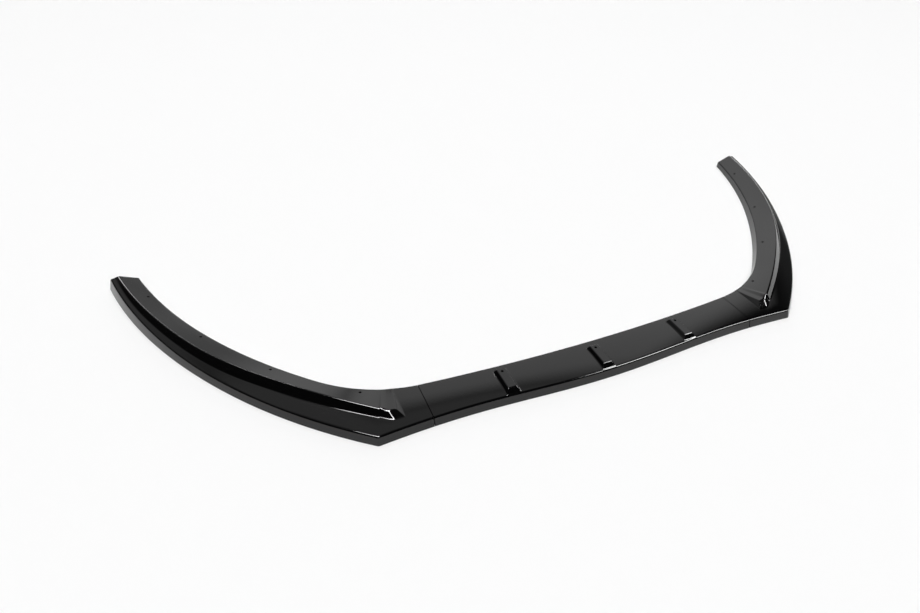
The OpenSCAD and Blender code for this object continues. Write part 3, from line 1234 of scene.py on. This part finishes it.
        fx, fy, fz = self.facet_point
        facet = fz + (x - fx) * self.facet_slope[0] + (y - fy) * self.facet_slope[1]
        ramp = plain + (x - self.front_x[0]) * self.ramp_slope
        past = along - self.front_x[3]
        lift = smooth_step(0, self.lift_over, past) * self.lift
        deck = soft_min(deck, ramp + lift, self.ramp_round)
        raised = soft_min(deck, wall, self.ridge_round)
        raised = soft_min(raised, facet + lift, self.facet_round)
        return soft_max(base, raised, mix(*self.foot_fill, smooth_step(0, self.fill_over, past)))

    def build(self) -> bpy.types.Object:
        """Builds the wing as one shell with its bosses and holes.

        Returns:
            The finished object, in place.
        """
        line, skin = self.stations(), self.skin
        start, end = skin.sampled(line.length[:, None])
        d = self.grid.across(line.foot_d[:, None], line.top_d[:, None], start, end)
        z = self.top(line, d)
        shell = Shell(
            plan=self.plan,
            skin=skin,
            d=d,
            z=z,
            length=line.length,
            rim_z=line.rim_z,
            edge_z=line.edge_z,
            under=z - skin.wall,
            out=line.out,
        )
        rings = shell.rings((0, 1))
        points = np.stack([*line.place(rings[..., 0]), rings[..., 1]], -1)
        bosses = self.joints.boss_places(self.plan, 1)
        return close_moulding(self, points, bosses, self.hole_places(), self.side is Side.LEFT)

    def hole_places(self) -> list[Pair]:
        """Finds the four screw holes.

        Returns:
            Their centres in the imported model's frame, in metres.
        """
        plan = self.plan
        places = []
        for share in self.hole_at:
            s = np.array(share * plan.inner_len)
            h = math.radians(float(plan.inner_heading(s)))
            x, y = plan.inner_edge(s) + self.hole_in * np.array([math.sin(h), -math.cos(h)])
            places.append((self.side.value * x * MM, (y - plan.mid_y) * MM))
        return places

    def dress(self, obj: bpy.types.Object) -> None:
        """Finishes the wing and puts it in its node's place.

        Args:
            obj: The wing's object.
        """
        dress(obj, GlossBlackPlastic().material())
        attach(obj, BODY)
        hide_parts(self.node)


@dataclass
class CentreSection:
    """The middle moulding with its three fins.

    Attributes:
        node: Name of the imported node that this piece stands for.
        fin_count: Number of fins.
        fin_pitch: Distance between the middles of two fins.
        fin_len: Length of a fin's top.
        fin_top_w: Width of its top.
        fin_flare: How far a side spreads from the top down to the rim's height.
        fin_z: Height of its top.
        fin_setback: Distance from the rim to the front of its top.
        fin_front_flare: How far the front spreads.
        fin_rear_flare: How far the rear spreads.
        fin_hole_in: Distance from the rear of the top to the screw hole.
        fin_edge: Rounding of the fin's edges, in millimetres of height.
        fin_fill: Rounding between fin and skin.
        fin_wall_share: Thickness of the fin's sides, as a share of the wall.
        no_fin_z: Height that stands for no fin.
        plain_lines: Stations spread evenly along the section.
        fin_reach: How far to either side of a fin the close stations reach.
        fin_lines: Number of close stations at a fin.
        samples: Samples across the section.
    """

    plan: Plan = field(default_factory=Plan)
    skin: Skin = field(default_factory=Skin)
    joints: Joints = field(default_factory=Joints)
    drill: Drill = field(default_factory=Drill)
    node: str = "centre_section"
    fin_count: int = 3
    fin_pitch: float = 201.0
    fin_len: float = 51.0
    fin_top_w: float = 17.0
    fin_flare: float = 6.5
    fin_z: float = 25.6
    fin_setback: float = 12.0
    fin_front_flare: float = 9.5
    fin_rear_flare: float = 3.5
    fin_hole_in: float = 7.6
    fin_edge: float = 1.1
    fin_fill: float = 1.2
    fin_wall_share: float = 0.75
    no_fin_z: float = -100.0
    plain_lines: int = 120
    fin_reach: float = 19.0
    fin_lines: int = 77
    samples: int = 110

    def fin_xs(self) -> list[float]:
        """Where the fins stand, from the middle."""
        return [(i - (self.fin_count - 1) / 2) * self.fin_pitch for i in range(self.fin_count)]

    def fin_front(self, x: float) -> float:
        """Depth at which the top of the fin at x starts."""
        return float(self.plan.front_rim(np.array(x))[1]) + self.fin_setback

    def fin_height(self, x: np.ndarray, y: np.ndarray, inset: float) -> np.ndarray:
        """Height of the fins' rounded bodies at points, far below zero between them.

        Args:
            x: X of the points.
            y: Y of the points.
            inset: How far inside the outer faces the surface lies.

        Returns:
            The heights.
        """
        rise = self.fin_z - self.plan.rim_z
        out = np.full(np.shape(x), self.no_fin_z)
        for cx in self.fin_xs():
            y0 = self.fin_front(cx) + inset
            y1 = self.fin_front(cx) + self.fin_len - inset
            half = self.fin_top_w / 2 - inset
            side = self.fin_z - (np.abs(x - cx) - half) * rise / self.fin_flare
            front = self.fin_z - (y0 - y) * rise / self.fin_front_flare
            rear = self.fin_z - (y - y1) * rise / self.fin_rear_flare
            body = soft_min(side, np.full(np.shape(x), self.fin_z), self.fin_edge)
            body = soft_min(body, soft_min(front, rear, self.fin_edge), self.fin_edge)
            out = np.maximum(out, body)
        return out

    def station_xs(self) -> np.ndarray:
        """Lays the stations, close together on the fins and at the seams.

        Returns:
            The X of every station.
        """
        end = self.plan.seam_x - self.plan.seam_gap / 2
        inside = end - self.skin.seam_margin
        xs = {sign * (end - step) for step in self.skin.seam_lines for sign in (-1, 1)}
        xs |= set(np.linspace(-inside, inside, self.plain_lines))
        for cx in self.fin_xs():
            xs |= set(np.linspace(cx - self.fin_reach, cx + self.fin_reach, self.fin_lines))
        return np.array(sorted(xs))

    def build(self) -> bpy.types.Object:
        """Builds the section as one shell with its fins, bosses and holes.

        Returns:
            The finished object, in place.
        """
        plan, skin, xs = self.plan, self.skin, self.station_xs()
        rim_y = plan.front_rim(xs)[:, 1]
        length = plan.rear_edge(xs)[:, 1] - rim_y
        start, end = skin.sampled(length[:, None])
        d = start + (end - start) * np.linspace(0, 1, self.samples)[None, :]
        x, y = np.repeat(xs[:, None], self.samples, 1), rim_y[:, None] + d
        plain = skin.plain_z(plan, d / length[:, None])
        hollow = self.fin_height(x, y, skin.wall * self.fin_wall_share) - skin.wall
        fill = np.full(plain.shape, self.fin_fill)
        shell = Shell(
            plan=plan,
            skin=skin,
            d=d,
            z=soft_max(plain, self.fin_height(x, y, 0.0), fill),
            length=length,
            rim_z=np.full(len(xs), plan.rim_z),
            edge_z=np.full(len(xs), skin.rear_z),
            under=np.maximum(plain - skin.wall, hollow),
            out=np.zeros(len(xs)),
        )
        rings = shell.rings((0, 1), (-1, -2))
        x = np.repeat(xs[:, None], rings.shape[1], 1)
        points = np.stack([x, rim_y[:, None] + rings[..., 0], rings[..., 1]], -1)
        right = self.joints.boss_places(plan, -1)
        bosses = [(sign * bx, by) for bx, by in right for sign in (-1, 1)]
        return close_moulding(self, points, bosses, self.hole_places())

    def hole_places(self) -> list[Pair]:
        """Finds the screw hole in each fin.

        Returns:
            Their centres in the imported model's frame, in metres.
        """
        places = []
        for cx in self.fin_xs():
            y = self.fin_front(cx) + self.fin_len - self.fin_hole_in
            places.append((cx * MM, (y - self.plan.mid_y) * MM))
        return places

    def dress(self, obj: bpy.types.Object) -> None:
        """Finishes the section and puts it in its node's place.

        Args:
            obj: The section's object.
        """
        dress(obj, GlossBlackPlastic().material())
        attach(obj, BODY)
        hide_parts("centre_section")


@dataclass
class SeamHardware:
    """The plate and the screws under one seam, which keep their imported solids.

    Attributes:
        side: Which seam it is.
        coat: Colour of the plate's black coat.
        coat_roughness: Its roughness.
        zinc: Colour of the screws' plating.
        zinc_roughness: Its roughness.
    """

    side: Side
    coat: tuple[float, float, float] = (0.03, 0.03, 0.033)
    coat_roughness: float = 0.42
    zinc: tuple[float, float, float] = (0.62, 0.62, 0.6)
    zinc_roughness: float = 0.3

    def dress(self, nodes: dict[str, bpy.types.Object]) -> None:
        """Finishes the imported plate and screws.

        Args:
            nodes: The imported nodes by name.
        """
        word = self.side.name.lower()
        coat = PlatedSteel(f"{word}_plate_coat", self.coat, self.coat_roughness, 0.0)
        zinc = PlatedSteel(f"{word}_screw_zinc", self.zinc, self.zinc_roughness, 1.0)
        dress(nodes[f"{word}_joint_plate"], coat.material())
        dress(nodes[f"{word}_joint_screws"], zinc.material())


@dataclass(frozen=True)
class SoftBox:
    """A lit patch of sky with soft edges, in degrees round from +X and up.

    Attributes:
        azimuth: Direction of the patch's middle.
        half_width: Half its width.
        low: Height of its lower edge.
        high: Height of its upper edge.
        soft: Half the width over which an edge fades.
        strength: Strength of its light, where 1 is white.
    """

    azimuth: float
    half_width: float
    low: float
    high: float
    soft: float
    strength: float


class Sky:
    """Lays lit patches over each other in the world's node tree; the brightest one shows."""

    def __init__(self, tree: bpy.types.NodeTree, dark: float = 0.02) -> None:
        """Starts with an even dark sky.

        Args:
            tree: The world's node tree.
            dark: Strength of the sky outside all patches.
        """
        self.nodes, self.links = tree.nodes, tree.links
        where = self.nodes.new("ShaderNodeTexCoord")
        self.direction = where.outputs["Generated"]
        flat = self.nodes.new("ShaderNodeVectorMath")
        flat.operation = "MULTIPLY"
        flat.inputs[1].default_value = (1, 1, 0)
        self.links.new(self.direction, flat.inputs[0])
        self.compass = self.nodes.new("ShaderNodeVectorMath")
        self.compass.operation = "NORMALIZE"
        self.links.new(flat.outputs["Vector"], self.compass.inputs[0])
        first = self.math("MAXIMUM")
        first.inputs[0].default_value = first.inputs[1].default_value = dark
        self.total = first.outputs["Value"]

    def math(
        self, operation: str, a: Socket | None = None, b: Socket | None = None
    ) -> bpy.types.Node:
        """Makes a Math node.

        Args:
            operation: The node's operation.
            a: What feeds its first input, if anything.
            b: What feeds its second input, if anything.

        Returns:
            The node.
        """
        node = self.nodes.new("ShaderNodeMath")
        node.operation = operation
        for i, source in enumerate((a, b)):
            if source:
                self.links.new(source, node.inputs[i])
        return node

    def dot(self, source: Socket, direction: Sequence[float]) -> Socket:
        """Finds how near one direction is to another.

        Args:
            source: Where the direction comes from.
            direction: The direction that it is held against.

        Returns:
            The cosine between them.
        """
        node = self.nodes.new("ShaderNodeVectorMath")
        node.operation = "DOT_PRODUCT"
        node.inputs[1].default_value = Vector(direction).normalized()
        self.links.new(source, node.inputs[0])
        return node.outputs["Value"]

    def edge(self, source: Socket, dark: float, lit: float) -> Socket:
        """Makes a soft edge.

        Args:
            source: The value that the edge lies across.
            dark: Value where the light has ended.
            lit: Value where it is full.

        Returns:
            The light, from 0 to 1.
        """
        node = self.nodes.new("ShaderNodeMapRange")
        node.interpolation_type = "SMOOTHSTEP"
        low, high = min(dark, lit), max(dark, lit)
        node.inputs["From Min"].default_value = low
        node.inputs["From Max"].default_value = high
        node.inputs["To Min"].default_value = 0.0 if dark < lit else 1.0
        node.inputs["To Max"].default_value = 1.0 if dark < lit else 0.0
        self.links.new(source, node.inputs["Value"])
        return node.outputs["Result"]

    def box(self, box: SoftBox) -> Socket:
        """Light from one soft box.

        Args:
            box: Its place, size and strength.

        Returns:
            The socket with its strength in every direction.
        """

        def sine(degrees: float) -> float:
            """Sine of an angle, which is the height on a sky of radius 1."""
            return math.sin(math.radians(degrees))

        a = math.radians(box.azimuth)
        side = self.dot(self.compass.outputs["Vector"], (math.cos(a), math.sin(a), 0))
        wide, narrow = (math.cos(math.radians(box.half_width + s)) for s in (box.soft, -box.soft))
        height = self.dot(self.direction, (0, 0, 1))
        patch = self.math("MULTIPLY", self.edge(side, wide, narrow))
        rise = self.edge(height, sine(box.low - box.soft), sine(box.low + box.soft))
        fall = self.edge(height, sine(box.high + box.soft), sine(box.high - box.soft))
        band = self.math("MULTIPLY", rise, fall)
        self.links.new(band.outputs["Value"], patch.inputs[1])
        lit = self.math("MULTIPLY", patch.outputs["Value"])
        lit.inputs[1].default_value = box.strength
        return lit.outputs["Value"]

    def add(self, light: Socket) -> None:
        """Lays one more light over the sky."""
        self.total = self.math("MAXIMUM", self.total, light).outputs["Value"]


class Seen(Enum):
    """What a lamp acts on: gloss on the part, or plain light on everything."""

    GLOSS = "visible_diffuse"
    PLAIN = "visible_glossy"


class Outline(Enum):
    """Shape of a lamp, with the share of its box that it fills."""

    RECTANGLE = 1.0
    ELLIPSE = math.pi / 4


@dataclass(frozen=True)
class Lamp:
    """A flat lamp far away, laid out between two directions.

    The directions are degrees round from +X and up, and `width` is in degrees
    as well. `strength` is the light that each part of the lamp gives.
    """

    name: str
    start: Pair
    end: Pair
    width: float
    strength: float
    seen: Seen = Seen.GLOSS
    shape: Outline = Outline.RECTANGLE
    distance: float = 20.0

    @staticmethod
    def toward(direction: Pair) -> Vector:
        """Unit vector toward a direction in degrees round from +X and up."""
        a, e = (math.radians(v) for v in direction)
        return Vector((math.cos(a) * math.cos(e), math.sin(a) * math.cos(e), math.sin(e)))

    def build(self) -> bpy.types.Object:
        """Hangs the lamp.

        Returns:
            The lamp's object.
        """
        start, end = self.toward(self.start), self.toward(self.end)
        out = (start + end).normalized()
        along = (end - start).normalized()
        side = out.cross(along)
        data = bpy.data.lights.new(self.name, "AREA")
        data.shape = self.shape.name
        data.size = 2 * self.distance * math.tan(start.angle(end) / 2)
        data.size_y = 2 * self.distance * math.tan(math.radians(self.width) / 2)
        data.energy = self.strength * math.pi * self.shape.value * data.size * data.size_y
        obj = bpy.data.objects.new(self.name, data)
        basis = Matrix((along, side, out)).transposed().to_4x4()
        obj.matrix_world = Matrix.Translation(out * self.distance) @ basis
        setattr(obj, self.seen.value, False)
        bpy.context.scene.collection.objects.link(obj)
        return obj


@dataclass
class Studio:
    """Pale floor, painted sky, far lamps and the camera, with the camera's place in metres.

    The sky's patches are the broad greys in the gloss. The lamps are the bright
    lines along rims, ridges and pockets, and `fill` alone lights the floor.
    """

    camera_at: tuple[float, float, float] = (-0.6101, -0.9780, 0.8468)
    azimuth: float = -23.81
    elevation: float = 38.92
    roll: float = 1.38
    focal_px: float = 614.0
    image_w: int = 920
    sensor_mm: float = 36.0
    clip: Pair = (0.05, 200.0)
    floor_radius: float = 40.0
    floor_sides: int = 96
    boxes: tuple[SoftBox, ...] = (
        SoftBox(azimuth=57.5, half_width=22, low=13, high=50, soft=6, strength=1.02),
        SoftBox(azimuth=57.5, half_width=22, low=-20, high=13, soft=6, strength=0.8),
        SoftBox(azimuth=86, half_width=26, low=-20, high=52, soft=6, strength=0.45),
        SoftBox(azimuth=97, half_width=69, low=50, high=63, soft=4, strength=0.45),
        SoftBox(azimuth=97, half_width=69, low=60, high=84, soft=4, strength=0.22),
        SoftBox(azimuth=132, half_width=28, low=26, high=52, soft=8, strength=0.36),
        SoftBox(azimuth=25, half_width=10, low=2, high=18, soft=4, strength=0.42),
        SoftBox(azimuth=24, half_width=8, low=14, high=32, soft=5, strength=0.10),
    )
    lamps: tuple[Lamp, ...] = (
        Lamp("rim_strip", start=(-27, 40), end=(-27, 59), width=14, strength=26.0),
        Lamp("side_lamp", start=(-7, 24), end=(-10, 38), width=8, strength=22.0),
        Lamp("overhead", (-145, 73), (100, 80), width=26, strength=28.0, shape=Outline.ELLIPSE),
        Lamp("front_lamp", start=(-93, 71.5), end=(-120, 80), width=12, strength=28.0),
        Lamp("rear_strip", start=(99, 41), end=(106, 24), width=8, strength=7.0),
        Lamp("rear_line", start=(89.5, 50), end=(97.5, 42.5), width=5, strength=22.0),
        Lamp("fill", (0, 60), (180, 60), width=60, strength=3.0, seen=Seen.PLAIN),
    )

    def camera(self) -> bpy.types.Object:
        """Makes the camera at the photograph's angle.

        Returns:
            The camera, set as the scene's own.
        """
        data = bpy.data.cameras.new("camera")
        data.sensor_width = self.sensor_mm
        data.lens = self.focal_px / self.image_w * data.sensor_width
        data.clip_start, data.clip_end = self.clip
        a, e, r = (math.radians(v) for v in (self.azimuth, self.elevation, self.roll))
        back = Vector((math.sin(a) * math.cos(e), -math.cos(a) * math.cos(e), math.sin(e)))
        right = (-back).cross(Vector((0, 0, 1))).normalized()
        up = right.cross(-back)
        turned_right = right * math.cos(r) + up * math.sin(r)
        turned_up = up * math.cos(r) - right * math.sin(r)
        basis = Matrix((turned_right, turned_up, back)).transposed().to_4x4()
        obj = bpy.data.objects.new("camera", data)
        obj.matrix_world = Matrix.Translation(self.camera_at) @ basis
        bpy.context.scene.collection.objects.link(obj)
        bpy.context.scene.camera = obj
        return obj

    def floor(self) -> bpy.types.Object:
        """Makes the pale floor under the lip.

        Returns:
            The floor.
        """
        bm = bmesh.new()
        bmesh.ops.create_circle(
            bm, cap_ends=True, segments=self.floor_sides, radius=self.floor_radius
        )
        data = bpy.data.meshes.new("floor")
        bm.to_mesh(data)
        bm.free()
        obj = bpy.data.objects.new("floor", data)
        bpy.context.scene.collection.objects.link(obj)
        dress(obj, FloorPaper().material())
        return obj

    def world(self) -> None:
        """Paints the sky that the gloss mirrors."""
        world = bpy.data.worlds.new("studio")
        bpy.context.scene.world = world
        world.use_nodes = True
        sky = Sky(world.node_tree)
        for box in self.boxes:
            sky.add(sky.box(box))
        background = world.node_tree.nodes["Background"]
        background.inputs["Color"].default_value = (1, 1, 1, 1)
        world.node_tree.links.new(sky.total, background.inputs["Strength"])

    def build(self) -> None:
        """Sets up camera, floor and light."""
        self.camera()
        self.floor()
        self.world()
        for lamp in self.lamps:
            lamp.build()
        bpy.context.scene.view_settings.view_transform = "Standard"


def main() -> None:
    """Builds the lip and its studio, and reports each piece."""
    logging.basicConfig(level=logging.INFO, format="%(message)s")
    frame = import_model()
    Studio().build()
    wings = [Wing(Side.LEFT), Wing(Side.RIGHT)]
    for part in [*wings, CentreSection()]:
        obj = part.build()
        part.dress(obj)
        LOG.info("%s: %d faces", obj.name, len(obj.data.polygons))
    for side in Side:
        SeamHardware(side).dress(frame["nodes"])
        LOG.info("%s joint dressed", side.name.lower())


if __name__ == "__main__":
    main()
